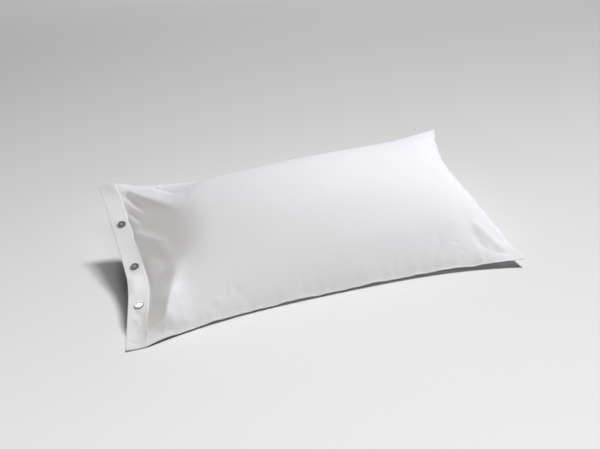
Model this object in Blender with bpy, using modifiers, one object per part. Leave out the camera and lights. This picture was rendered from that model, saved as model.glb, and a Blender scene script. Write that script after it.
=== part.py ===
"""A pillowcase with its pillow inside, lying on its back on a flat surface.

The case is one filled solid: crowned, with sides that draw in between four flat ears. A flat band of two stiff
plies runs across its open end and is shut by three shell buttons. Units are metres, +Z is up. +X runs along the
case to its closed end, +Y to its back side, and the origin is under the middle of its box.
"""

import math
from collections import namedtuple

import bmesh
import bpy
from mathutils import Vector

# Driving dimensions: a 50 x 90 cm case, which spans a little less once it is filled.
SPAN_LENGTH = 0.882
SPAN_WIDTH = 0.476
BAND_WIDTH = 0.042
PLY = 0.0015
GAP = 0.0003

# The crown stands over the sheet of the seams, and the belly hangs under it. The band's end fills more gently.
CROWN_RISE = 0.118
BELLY_DROP = 0.140
LENGTHWISE_FULLNESS = 1.74
BAND_END_POWER = 0.60
CLOSED_END_POWER = 0.42
CROSSWISE_FULLNESS = 2.37
CROSSWISE_POWER = 0.91

# The four corners: how high each lies, and the reach of the flat ear that the pillow doesn't fill.
Corner = namedtuple("Corner", "end side height ear")
NEAR_LEFT = Corner(end=0, side=0, height=0.005, ear=0.030)
NEAR_RIGHT = Corner(end=1, side=0, height=0.024, ear=0.073)
FAR_LEFT = Corner(end=0, side=1, height=0.091, ear=0.060)
FAR_RIGHT = Corner(end=1, side=1, height=0.106, ear=0.039)
CORNERS = (NEAR_LEFT, NEAR_RIGHT, FAR_LEFT, FAR_RIGHT)

# The four edges: how far each draws in, and lifts off the straight line between its corners.
Edge = namedtuple("Edge", "drawn_in drawn_fullness drawn_lean lift lift_fullness lift_lean")
FRONT = Edge(0.0405, 2.75, 0.0, -0.009, 2.0, 0.42)
BACK = Edge(0.051, 1.6, -0.16, -0.010, 2.0, 0.0)
BAND_END = Edge(0.0266, 1.5, -0.27, 0.026, 2.1, -0.60)
CLOSED_END = Edge(0.042, 1.5, 0.23, -0.002, 2.0, 0.0)

# The case's end dips beside the band, which droops from there to its free edge.
Bend = namedtuple("Bend", "depth fullness lean")
BAND_DIP = Bend(0.015, 1.5, -0.18)
BAND_DROOP = Bend(0.006, 2.0, 0.0)
DIP_FADE = 3

# Places where the sheet of the seams is pulled off its smooth run: where, by how much, and how far round.
Pull = namedtuple("Pull", "along across offset reach")
FAR_EAR_PULL = Pull(along=0.048, across=1.0, offset=(-0.007, 0.0, 0.009), reach=0.030)
NEAR_EAR_PULL = Pull(along=0.085, across=0.13, offset=(0.0, 0.0, 0.013), reach=0.040)
BAND_SAG = Pull(along=0.03, across=0.47, offset=(0.0, 0.0, -0.009), reach=0.085)
PULLS = (FAR_EAR_PULL, NEAR_EAR_PULL, BAND_SAG)

# The pillow's end inside the case: the ridge where the top turns down to the band, as shares across and along,
# and how gently the cloth turns over it.
HIP_RIDGE = (
    (0.00, 0.110),
    (0.14, 0.138),
    (0.20, 0.158),
    (0.32, 0.180),
    (0.42, 0.196),
    (0.54, 0.202),
    (0.70, 0.172),
    (0.91, 0.105),
    (1.00, 0.060),
)
HIP_BLUR = 0.06
HIP_EASE = 0.009

# The cloth is taut between the far left ear and the crown: its slope down to the back edge, at shares along.
BACK_SLOPES = (
    (0.05, 0.28),
    (0.15, 0.38),
    (0.21, 0.52),
    (0.26, 0.72),
    (0.32, 1.00),
    (0.42, 1.50),
    (0.60, 2.20),
)
BACK_EASE = 0.012

# The folds that are wide enough to shape the solid. Places are shares along and across the case.
Fold = namedtuple("Fold", "start end height reach")
RIDGE_TO_FAR_LEFT_EAR = Fold(start=(0.07, 0.95), end=(0.19, 0.545), height=0.008, reach=0.018)
RIDGE_TO_NEAR_LEFT_EAR = Fold(start=(0.120, 0.24), end=(0.099, 0.03), height=0.014, reach=0.026)
RIDGE_TO_NEAR_RIGHT_EAR = Fold(start=(0.88, 0.34), end=(0.98, 0.06), height=0.006, reach=0.024)
FOLDS = (RIDGE_TO_FAR_LEFT_EAR, RIDGE_TO_NEAR_LEFT_EAR, RIDGE_TO_NEAR_RIGHT_EAR)

# The cells of each cage, along and across the case. The cloths have as many across, so that their ends match.
CELLS_ACROSS = 20
CASE_CELLS = (24, CELLS_ACROSS)
BAND_CELLS = (2, CELLS_ACROSS)

# The buttons, each one's share across the case, and the share of the band's width at which they are sewn.
BUTTON_RADIUS = 0.0095
BUTTON_THICKNESS = 0.0026
BUTTON_RIM = 0.0024
BUTTON_SINK = 0.0008
BUTTON_LIFT = 0.0007
BUTTON_EDGE = 0.0005
BUTTON_SIDES = 32
THREAD_HOLES = 4
THREAD_HOLE_RADIUS = 0.0009
THREAD_HOLE_OFFSET = 0.0021
BUTTONS = {"button_front": 0.18, "button_middle": 0.452, "button_back": 0.724}
BUTTON_LINE = 0.57

# Colours.
COTTON = (0.83, 0.83, 0.86, 1.0)
STIFF_COTTON = (0.86, 0.86, 0.88, 1.0)
SHELL = (0.60, 0.58, 0.55, 1.0)

BAND_SHARE = BAND_WIDTH / SPAN_LENGTH
GAP_SHARE = GAP / SPAN_LENGTH
LOW = -PLY - GAP / 2
HIGH = PLY + GAP / 2


def mix(a, b, share):
    return a + (b - a) * share


def arch(share, fullness, lean=0.0):
    """An arch over 0..1: 0 at both ends, and 1 at its top, which leans towards one of them."""
    place = 2 * share - 1
    place = (place - lean) / (1 - lean * place)
    return max(0.0, 1 - abs(place) ** fullness)


def edge_point(edge, first, last, share):
    """How far an edge is drawn in at a share of its run from one corner to another, and its height there."""
    drawn_in = edge.drawn_in * arch(share, edge.drawn_fullness, edge.drawn_lean)
    lift = edge.lift * arch(share, edge.lift_fullness, edge.lift_lean)
    return drawn_in, mix(first.height, last.height, share) + lift


def front_edge(along):
    """The front edge, which the band keeps straight as far as the body."""
    drawn_in, height = edge_point(FRONT, NEAR_LEFT, NEAR_RIGHT, body_share(along))
    return Vector((SPAN_LENGTH * (along - 0.5), drawn_in - SPAN_WIDTH / 2, height))


def back_edge(along):
    drawn_in, height = edge_point(BACK, FAR_LEFT, FAR_RIGHT, along)
    return Vector((SPAN_LENGTH * (along - 0.5), SPAN_WIDTH / 2 - drawn_in, height))


def band_end(across):
    drawn_in, height = edge_point(BAND_END, NEAR_LEFT, FAR_LEFT, across)
    return Vector((drawn_in - SPAN_LENGTH / 2, SPAN_WIDTH * (across - 0.5), height))


def closed_end(across):
    drawn_in, height = edge_point(CLOSED_END, NEAR_RIGHT, FAR_RIGHT, across)
    return Vector((SPAN_LENGTH / 2 - drawn_in, SPAN_WIDTH * (across - 0.5), height))


def body_share(along):
    """The share along the body of the case, from 0 at the band to 1 at the closed end."""
    return max(0.0, (along - BAND_SHARE) / (1 - BAND_SHARE))


def bend_depth(bend, across):
    return bend.depth * arch(across, bend.fullness, bend.lean)


def seam_sheet(along, across):
    """The sheet stretched between the four edges, halfway between the upper cloth and the lower."""
    between_sides = mix(front_edge(along), back_edge(along), across)
    between_ends = mix(band_end(across), closed_end(across), along)
    near_corners = mix(front_edge(0), front_edge(1), along)
    far_corners = mix(back_edge(0), back_edge(1), along)
    sheet = between_sides + between_ends - mix(near_corners, far_corners, across)
    sheet.z -= bend_depth(BAND_DIP, across) * (1 - body_share(along)) ** DIP_FADE
    sheet.z -= bend_depth(BAND_DROOP, across) * max(0.0, 1 - along / BAND_SHARE)
    for pull in PULLS:
        distance = math.hypot((along - pull.along) * SPAN_LENGTH, (across - pull.across) * SPAN_WIDTH)
        sheet += Vector(pull.offset) * math.exp(-((distance / pull.reach) ** 2))
    return sheet


def seam_normal(along, across):
    step = 0.001
    run = seam_sheet(along + step, across) - seam_sheet(along - step, across)
    width = seam_sheet(along, across + step) - seam_sheet(along, across - step)
    return run.cross(width).normalized()


def in_band(along, across, height):
    """A point on the band or a seam, at a height square to the sheet."""
    return seam_sheet(along, across) + seam_normal(along, across) * height


def filled(along, across):
    """How full the case is, from 0 along its seams and ears to 1 under the crown."""
    body = body_share(along)
    lengthwise = arch(body, LENGTHWISE_FULLNESS) ** mix(BAND_END_POWER, CLOSED_END_POWER, body)
    share = lengthwise * arch(across, CROSSWISE_FULLNESS) ** CROSSWISE_POWER
    for corner in CORNERS:
        distance = math.hypot((body - corner.end) * SPAN_LENGTH, (across - corner.side) * SPAN_WIDTH)
        share *= 1 - math.exp(-((distance / corner.ear) ** 2))
    return share


def smooth_min(a, b, ease):
    """The lesser of two heights, with the corner between them rounded."""
    share = min(1.0, max(0.0, 0.5 + 0.5 * (b - a) / ease))
    return mix(b, a, share) - ease * share * (1 - share)


def read_off(table, place):
    """The value that a table of places and values gives at a place, straight from one row to the next."""
    value = table[0][1]
    for (first, first_value), (last, last_value) in zip(table, table[1:]):
        value += (last_value - first_value) * min(1.0, max(0.0, (place - first) / (last - first)))
    return value


def hip_ridge(across):
    """The share along at which the ridge lies, with the corners between its straight runs rounded."""
    steps = [(index / 4 - 1) * HIP_BLUR for index in range(9)]
    return sum(read_off(HIP_RIDGE, across + step) for step in steps) / len(steps)


def cloth_rise(along, across):
    """How far the upper cloth stands over the seams, before its folds.

    It is the crown, cut off by the pillow's end, which slopes down evenly to the band, and by the taut cloth
    that slopes down to the back edge.
    """
    fill = filled(along, across)
    nearly_flat = min(1.0, 4 * fill)
    ridge = hip_ridge(across)
    end_slope = CROWN_RISE * filled(ridge, across) / (ridge - BAND_SHARE)
    rise = smooth_min(CROWN_RISE * fill, end_slope * (along - BAND_SHARE), max(HIP_EASE * nearly_flat, 1e-6))
    back_face = read_off(BACK_SLOPES, along) * (1 - across) * SPAN_WIDTH
    return smooth_min(rise, back_face, max(BACK_EASE * nearly_flat, 1e-6))


def fold_height(along, across):
    """What the folds add to the height of the upper cloth, fading towards each fold's end."""
    here = Vector((along * SPAN_LENGTH, across * SPAN_WIDTH))
    total = 0.0
    for fold in FOLDS:
        start = Vector((fold.start[0] * SPAN_LENGTH, fold.start[1] * SPAN_WIDTH))
        line = Vector((fold.end[0] * SPAN_LENGTH, fold.end[1] * SPAN_WIDTH)) - start
        share = min(1.0, max(0.0, (here - start).dot(line) / line.length_squared))
        off_line = (here - start - line * share).length
        total += fold.height * (1 - share / 2) * math.exp(-((off_line / fold.reach) ** 2))
    return total


def upper_cloth(along, across):
    folds = fold_height(along, across) * min(1.0, 8 * filled(along, across))
    rise = cloth_rise(along, across) + folds
    return in_band(along, across, HIGH) + Vector((0, 0, rise))


def lower_cloth(along, across):
    """The underside, flat wherever its belly would hang below the surface that it lies on."""
    point = in_band(along, across, LOW)
    point.z = max(0.0, point.z - BELLY_DROP * filled(along, across))
    return point


def make_material(name, colour, roughness):
    material = bpy.data.materials.new(name)
    material.use_nodes = True
    surface = material.node_tree.nodes["Principled BSDF"]
    surface.inputs["Base Color"].default_value = colour
    surface.inputs["Roughness"].default_value = roughness
    surface.inputs["Metallic"].default_value = 0.0
    return material


def make_object(name, mesh, collection, material):
    piece = bpy.data.objects.new(name, mesh)
    piece.data.materials.append(material)
    collection.objects.link(piece)
    return piece


def make_slab(cells):
    """A closed unit slab cut into cells along and across, for its points to be moved onto the cloth."""
    slab = bmesh.new()
    bmesh.ops.create_cube(slab, size=1.0)
    for axis, count in enumerate(cells):
        uncut = [edge for edge in slab.edges if abs(edge.verts[0].co[axis] - edge.verts[1].co[axis]) > 0.9]
        bmesh.ops.subdivide_edges(slab, edges=uncut, cuts=count - 1, use_grid_fill=True)
    return slab


def is_on_rim(edge):
    """Whether both ends of an edge are on the slab's outline, and it runs along that outline or up a corner."""
    middle = (edge.verts[0].co + edge.verts[1].co) / 2
    on_end = abs(middle.x) > 0.499
    on_side = abs(middle.y) > 0.499
    upright = abs(middle.z) < 0.001
    return (on_end and on_side) if upright else (on_end or on_side)


def mesh_from(cage, name):
    mesh = bpy.data.meshes.new(name)
    cage.to_mesh(mesh)
    cage.free()
    return mesh


def make_cloth(name, cells, start, end, upper, lower, collection, material):
    """A cloth piece between two shares along the case: a slab moved onto an upper and a lower surface.

    Its cage is rounded by subdivision, with its thin rim kept crisp.
    """
    cage = make_slab(cells)
    crease = cage.edges.layers.float.new("crease_edge")
    for edge in cage.edges:
        edge[crease] = 1.0 if is_on_rim(edge) else 0.0
    for point in cage.verts:
        surface = upper if point.co.z > 0 else lower
        point.co = surface(mix(start, end, point.co.x + 0.5), point.co.y + 0.5)
    mesh = mesh_from(cage, name)
    mesh.shade_smooth()
    cloth = make_object(name, mesh, collection, material)
    rounding = cloth.modifiers.new("Rounding", "SUBSURF")
    rounding.levels = 1
    rounding.render_levels = 1
    return cloth


def make_case(collection, material):
    """The filled case: an upper and a lower cloth that meet in a thin seam all round."""
    start = BAND_SHARE + GAP_SHARE
    return make_cloth("case", CASE_CELLS, start, 1.0, upper_cloth, lower_cloth, collection, material)


def make_band_ply(name, low, high, collection, material):
    """One ply of the band, from its free edge to the case, between two heights off the sheet of the seams."""
    def top(along, across):
        return in_band(along, across, high)

    def bottom(along, across):
        return in_band(along, across, low)

    return make_cloth(name, BAND_CELLS, 0.0, BAND_SHARE, top, bottom, collection, material)


def turned_button_mesh():
    """A button turned from its profile: a flat back, a round edge, a rim and a sunk middle."""
    rim_inside = BUTTON_RADIUS - BUTTON_RIM
    profile = (
        (0.0, BUTTON_THICKNESS - BUTTON_SINK),
        (rim_inside - BUTTON_SINK, BUTTON_THICKNESS - BUTTON_SINK),
        (rim_inside, BUTTON_THICKNESS),
        (BUTTON_RADIUS - 2 * BUTTON_EDGE, BUTTON_THICKNESS),
        (BUTTON_RADIUS, BUTTON_THICKNESS - 2 * BUTTON_EDGE),
        (BUTTON_RADIUS, BUTTON_EDGE),
        (BUTTON_RADIUS - BUTTON_EDGE, 0.0),
        (0.0, 0.0),
    )
    outline = bmesh.new()
    points = [outline.verts.new((radius, 0.0, height)) for radius, height in profile]
    for first, second in zip(points, points[1:]):
        outline.edges.new((first, second))
    return mesh_from(outline, "button")


def make_thread_hole_cutter(collection):
    """Four round cutters in one mesh, which stand through a button's middle."""
    cutters = bmesh.new()
    for index in range(THREAD_HOLES):
        turn = 2 * math.pi * (index + 0.5) / THREAD_HOLES
        hole = bmesh.ops.create_cone(
            cutters,
            cap_ends=True,
            segments=12,
            radius1=THREAD_HOLE_RADIUS,
            radius2=THREAD_HOLE_RADIUS,
            depth=4 * BUTTON_THICKNESS,
        )
        offset = Vector((math.cos(turn), math.sin(turn), 0)) * THREAD_HOLE_OFFSET
        bmesh.ops.translate(cutters, verts=hole["verts"], vec=offset)
    cutter = bpy.data.objects.new("thread_holes", mesh_from(cutters, "thread_holes"))
    cutter.hide_render = True
    cutter.display_type = "WIRE"
    collection.objects.link(cutter)
    return cutter


def make_button(name, across, parts, cutters, material):
    """A button that lies on the band's upper ply, square to the cloth."""
    button = make_object(name, turned_button_mesh(), parts, material)
    turning = button.modifiers.new("Turning", "SCREW")
    turning.axis = "Z"
    turning.steps = BUTTON_SIDES
    turning.render_steps = BUTTON_SIDES
    turning.use_merge_vertices = True
    turning.merge_threshold = 0.00001
    drilling = button.modifiers.new("Thread holes", "BOOLEAN")
    drilling.object = make_thread_hole_cutter(cutters)
    along = BAND_SHARE * BUTTON_LINE
    for piece in (button, drilling.object):
        piece.location = in_band(along, across, HIGH + BUTTON_LIFT)
        piece.rotation_mode = "QUATERNION"
        piece.rotation_quaternion = seam_normal(along, across).to_track_quat("Z", "Y")
    return button


def make_collection(name):
    collection = bpy.data.collections.new(name)
    bpy.context.scene.collection.children.link(collection)
    return collection


def main():
    for leftover in list(bpy.data.objects):
        bpy.data.objects.remove(leftover)
    parts = make_collection("pillowcase")
    cutters = make_collection("cutters")
    make_case(parts, make_material("cotton", COTTON, 0.85))
    make_band_ply("band_upper", GAP / 2, HIGH, parts, make_material("band_cotton", STIFF_COTTON, 0.80))
    make_band_ply("band_lower", LOW, -GAP / 2, parts, make_material("under_band_cotton", STIFF_COTTON, 0.80))
    for name, across in BUTTONS.items():
        make_button(name, across, parts, cutters, make_material(name + "_shell", SHELL, 0.25))


main()
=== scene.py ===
"""The looks of a pillowcase that lies filled on a pale floor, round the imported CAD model.

The case is one filled cotton form with its folds and seam puckers. A buttoned band of two stiff plies runs
across its open end. Sizes are metres, in the frame of the CAD model. Shares run 0..1 along the case, from the
band's free edge to the closed end, and across it, from the front to the back.
"""

import math
from collections import namedtuple

import bpy
import numpy as np
from mathutils import Matrix, Vector


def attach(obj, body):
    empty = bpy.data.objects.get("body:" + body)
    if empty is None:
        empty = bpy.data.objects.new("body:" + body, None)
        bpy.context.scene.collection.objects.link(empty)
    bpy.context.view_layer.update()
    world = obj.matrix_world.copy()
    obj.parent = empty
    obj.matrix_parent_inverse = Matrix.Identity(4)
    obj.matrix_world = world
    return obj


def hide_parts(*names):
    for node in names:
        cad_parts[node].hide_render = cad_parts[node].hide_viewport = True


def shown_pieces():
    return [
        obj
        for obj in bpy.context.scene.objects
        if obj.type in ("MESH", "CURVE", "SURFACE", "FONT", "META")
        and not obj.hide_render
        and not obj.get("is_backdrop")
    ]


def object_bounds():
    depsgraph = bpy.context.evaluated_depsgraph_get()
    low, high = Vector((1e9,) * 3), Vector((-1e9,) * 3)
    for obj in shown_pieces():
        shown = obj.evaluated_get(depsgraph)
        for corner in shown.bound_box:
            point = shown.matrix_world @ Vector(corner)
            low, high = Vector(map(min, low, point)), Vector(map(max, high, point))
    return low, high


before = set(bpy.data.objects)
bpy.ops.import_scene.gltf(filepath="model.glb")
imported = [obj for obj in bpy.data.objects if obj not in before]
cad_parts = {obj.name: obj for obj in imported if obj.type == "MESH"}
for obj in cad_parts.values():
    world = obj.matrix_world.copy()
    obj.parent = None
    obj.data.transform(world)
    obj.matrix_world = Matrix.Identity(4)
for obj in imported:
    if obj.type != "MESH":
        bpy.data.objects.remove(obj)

CAD_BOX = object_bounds()

# The sizes that the CAD model is driven by.
SPAN_LENGTH = 0.882
SPAN_WIDTH = 0.476
BAND_WIDTH = 0.042
PLY = 0.0015
GAP = 0.0003
CROWN_RISE = 0.118
BELLY_DROP = 0.140
LENGTHWISE_FULLNESS = 1.74
BAND_END_POWER = 0.60
CLOSED_END_POWER = 0.42
CROSSWISE_FULLNESS = 2.37
CROSSWISE_POWER = 0.91

Corner = namedtuple("Corner", "end side height ear")
NEAR_LEFT = Corner(end=0, side=0, height=0.005, ear=0.030)
NEAR_RIGHT = Corner(end=1, side=0, height=0.024, ear=0.073)
FAR_LEFT = Corner(end=0, side=1, height=0.091, ear=0.060)
FAR_RIGHT = Corner(end=1, side=1, height=0.106, ear=0.039)
CORNERS = (NEAR_LEFT, NEAR_RIGHT, FAR_LEFT, FAR_RIGHT)

Edge = namedtuple("Edge", "drawn_in drawn_fullness drawn_lean lift lift_fullness lift_lean")
FRONT = Edge(0.0405, 2.75, 0.0, -0.009, 2.0, 0.42)
BACK = Edge(0.051, 1.6, -0.16, -0.010, 2.0, 0.0)
BAND_END = Edge(0.0266, 1.5, -0.27, 0.026, 2.1, -0.60)
CLOSED_END = Edge(0.042, 1.5, 0.23, -0.002, 2.0, 0.0)

Bend = namedtuple("Bend", "depth fullness lean")
BAND_DIP = Bend(0.015, 1.5, -0.18)
BAND_DROOP = Bend(0.006, 2.0, 0.0)
DIP_FADE = 3

BUTTONS = {"button_front": 0.18, "button_middle": 0.452, "button_back": 0.724}
BUTTON_LINE = 0.57
BAND_SHARE = BAND_WIDTH / SPAN_LENGTH

Pull = namedtuple("Pull", "along across offset reach")
FAR_EAR_PULL = Pull(0.048, 1.0, (-0.007, 0.0, 0.009), 0.030)
NEAR_EAR_PULL = Pull(0.085, 0.13, (0.0, 0.0, 0.013), 0.040)
BAND_SAG = Pull(0.03, 0.47, (0.0, 0.0, -0.009), 0.085)
NEAR_EAR_FLAT = Pull(0.03, 0.045, (0.0, 0.0, -0.008), 0.024)
PULLS = (FAR_EAR_PULL, NEAR_EAR_PULL, BAND_SAG, NEAR_EAR_FLAT)

# The waves of the front seam and the closed end: how high, how many along them, and where they start. Then
# how far they reach into the case, the share over which they fade at corners, and the closed end's margin.
SEAM_WAVES = ((0.0010, 5.3, 0.4), (0.0008, 9.7, 2.1), (0.0006, 17.3, 4.4), (0.0004, 29.1, 1.3))
WAVE_REACH = 0.022
WAVE_FADE = 0.10
WAVE_MARGIN = 0.05

# Cloth as it is sewn: it is thinner than the CAD's plies, and the band's upper ply laps over the case. Cells
# are counts of faces along and across, and the normal's step is the share over which a slope is taken.
CASE_CELLS = (240, 150)
CASE_CROWDING = (0.6, 0.6)
CASE_HALF = 0.0010
SEAM_MARGIN = 0.003
SEAM_BULGE = 0.0006
NORMAL_STEP = 0.001
BAND_CELLS = (22, 240)
BAND_PLY = 0.0010
BAND_BULGE = 0.0004
BAND_PARTING = 0.0006
LAP = 0.0012
LAP_RISE = 0.0001
LAP_START = 0.7
LAP_RUN = 0.3

# How far the band's plies part between its buttons, how far a button holds them together, and the form of it.
GAPE = 0.0050
GAPE_REACH = 0.055
GAPE_FULLNESS = 6.0
GAPE_POWER = 1.5

# The stitches along the band. Their rise and their dip are in radii of the thread.
STITCH_PITCH = 0.0028
STITCH_SHARE = 0.72
STITCH_INSET = 0.0035
STITCH_STEPS = 5
STITCH_RISE = 0.9
STITCH_DIP = 3.0
THREAD_RADIUS = 0.00022
THREAD_SIDES = 6
THREAD_ENDS = (0.02, 0.98)
THREAD_FULLNESS = 4.0

# The buttons, as the CAD model makes them, and the strands that hold them.
BUTTON_RADIUS = 0.0095
BUTTON_MIDDLE = 0.0018
BUTTON_LIFT = 0.0007
THREAD_HOLE_OFFSET = 0.0021
STRAND_RADIUS = 0.00035
STRAND_RISE = 0.0004
STRAND_DIP = 0.0022
STRAND_BEND = 6
STRAND_STEPS = 11

# The line at which the case is sewn: how far inside its edge, how wide and how deep its groove is, and how
# dark the groove's shade is painted.
SEWN_INSET = 0.0075
SEWN_REACH = 0.0014
SEWN_DEPTH = 0.00022
SEWN_PAINTED_SHADE = 0.012

# Cotton: its colours, the height of its bumps in metres, how fine they are, and how uneven its tint is.
COTTON_COLOUR = (0.854, 0.848, 0.886)
STIFF_COLOUR = (0.862, 0.859, 0.888)
THREAD_COLOUR = (0.88, 0.87, 0.88)
WEAVE_DEPTH = 0.00003
WEAVE_WOBBLE = 0.8
WAVE_LENGTH = 0.314  # of the wave texture at a scale of 1
SLUB_DEPTH = 0.00005
SLUB_SCALE = 60.0
SLUB_STRETCH = (1.0, 14.0, 1.0)
SOFT_WAVE_SCALE = 11.0
TINT_SCALE = 16.0
TINT_RANGE = 0.030
TINT_LEAST = 0.985

# Shell: the grey of its turned rings at shares of the radius, painted dark as the reflection of its dark
# surroundings, and paler in the middle and in a ring inside the rim; its tint, and its pearly cloud.
SHELL_RINGS_AND_REFLECTION = ((0.0, 0.44), (0.30, 0.36), (0.40, 0.12), (0.62, 0.15), (0.72, 0.30), (0.82, 0.20), (1.0, 0.08))
SHELL_TINT = (1.0, 0.98, 0.95)
CLOUD_SCALE = 240.0
CLOUD_RANGE = 0.8
CLOUD_LEAST = 0.6

# The floor's paper: its colour, and how pale it is where x and y are 0. The paleness is painted light,
# paler towards the front and darker towards the back. It changes with y, y squared and y cubed, and with x
# and x times y, as far as the ends of PAPER_X and PAPER_Y. Then its mottle and its grain.
FLOOR_REACH = 20.0
FLOOR_COLOUR = (0.800, 0.800, 0.800)
PAPER_X = (-0.7, 1.6)
PAPER_Y = (-0.7, 1.9)
PAPER_AND_PAINTED_LIGHT = 0.9029
PAINTED_LIGHT_BY_Y = (-0.3449, -0.005, 0.0526)
PAINTED_LIGHT_BY_X = (0.0138, 0.0189)
MOTTLE_SCALE = 1.4
MOTTLE_LEAST = 0.99
MOTTLE_MOST = 1.01
GRAIN_SCALE = 900.0
GRAIN_DEPTH = 0.0002
GRAIN_STRENGTH = 0.1

# The wall round the floor, with a curved foot.
BACKDROP_REACH = 19.0
BACKDROP_FOOT = 3.0
BACKDROP_HEIGHT = 14.0
BACKDROP_STEPS = 12
BACKDROP_SIDES = 96
BACKDROP_COLOUR = (0.53, 0.53, 0.54, 1.0)
BLACK = (0.0, 0.0, 0.0, 1.0)

# The card that shades the floor. It lies at its own height, and stands up to the seams over the shares along
# and across that these ends, starts, runs and slant give.
CARD_CELLS = (60, 60)
CARD_MARGIN = 0.006
CARD_HEIGHT = 0.002
CARD_THICKNESS = 0.0005
CARD_STAND_END = 0.30
CARD_STAND_RUN = 0.10
CARD_SIDE_START = 0.01
CARD_SIDE_SLANT = 2.0
CARD_SIDE_RUN = 0.32

# Its notch behind the far left ear, and its flare past the middle of the band: how deep, where and how wide.
CARD_NOTCH = 0.013
CARD_NOTCH_PLACE = 0.050
CARD_NOTCH_REACH = 0.030
CARD_NOTCH_START = 0.75
CARD_NOTCH_RUN = 0.20
CARD_FLARE = 0.009
CARD_FLARE_PLACE = 0.48
CARD_FLARE_WIDTH = 0.30
CARD_FLARE_REACH = 0.06

# The camera: the place on the floor that it looks at, from where in degrees and metres, and its lens.
CAMERA_TARGET = (0.0107, 0.0683)
CAMERA_AZIMUTH = -17.25
CAMERA_ELEVATION = 35.77
CAMERA_DISTANCE = 1.7127
CAMERA_LENS = 42.0
SENSOR_WIDTH = 36.0

# Light. The part's back light and the fan of suns that light the floor come from the same side.
WHITE = (1.0, 1.0, 1.0)
SKY_COLOUR = (0.97, 0.97, 1.0, 1.0)
SKY_STRENGTH = 0.03
BACK_LIGHT_PLACE = (0.582, 1.866, 1.0)
BACK_LIGHT_POWER = 0.88
BACK_LIGHT_COLOUR = (0.98, 0.97, 1.0)
BACK_LIGHT_ANGLE = 4.0
FLOOR_SUN_TURNS = (-7.0, -4.7, -2.3, 0.0, 2.3, 4.7, 7.0)
FLOOR_SUN_POWER = 4.9
FLOOR_SUN_ANGLE = 3.5
GLINT_DISTANCE = 1.2
GLINT_POWER = 10.0
GLINT_SIZE = 0.6

Panel = namedtuple("Panel", "name place power colour")
PANEL_SIZE = (2.4, 1.8)
PART_PANELS = (
    Panel("right_panel", (2.1, 0.0, 2.6), 94.0, (0.975, 0.970, 1.0)),
    Panel("near_right_panel", (2.0, -2.0, 2.4), 5.0, WHITE),
    Panel("near_left_panel", (-2.0, -2.0, 2.4), 47.0, (1.0, 0.98, 0.86)),
)
FLOOR_PANEL = Panel("floor_panel", (0.3, 0.4, 3.0), 23.0, WHITE)

# The pillow's end inside the case: the ridge where the top turns down to the band, as shares across and
# along, how far across and in how many steps its line is blurred, and how gently the cloth turns over it.
HIP_ACROSS = (0.00, 0.14, 0.20, 0.32, 0.42, 0.54, 0.70, 0.91, 1.00)
HIP_ALONG = (0.110, 0.138, 0.158, 0.180, 0.196, 0.202, 0.172, 0.105, 0.060)
HIP_BLUR = 0.06
HIP_STEPS = 9
HIP_EASE = 0.009

# The cloth between the far left ear and the crown is taut: its slope down to the back edge at shares along,
# and how gently the cloth turns into it.
TAUT_ALONG = (0.05, 0.15, 0.21, 0.26, 0.32, 0.42, 0.60)
TAUT_SLOPES = (0.28, 0.38, 0.52, 0.72, 1.00, 1.50, 2.20)
TAUT_EASE = 0.012

# How fast those turns and the creases grow from nothing at the seams, and least values for safe divisions.
EASE_GROWTH = 4
CREASE_GROWTH = 36
LEAST_EASE = 1e-6
LEAST_AREA = 1e-9

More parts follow.
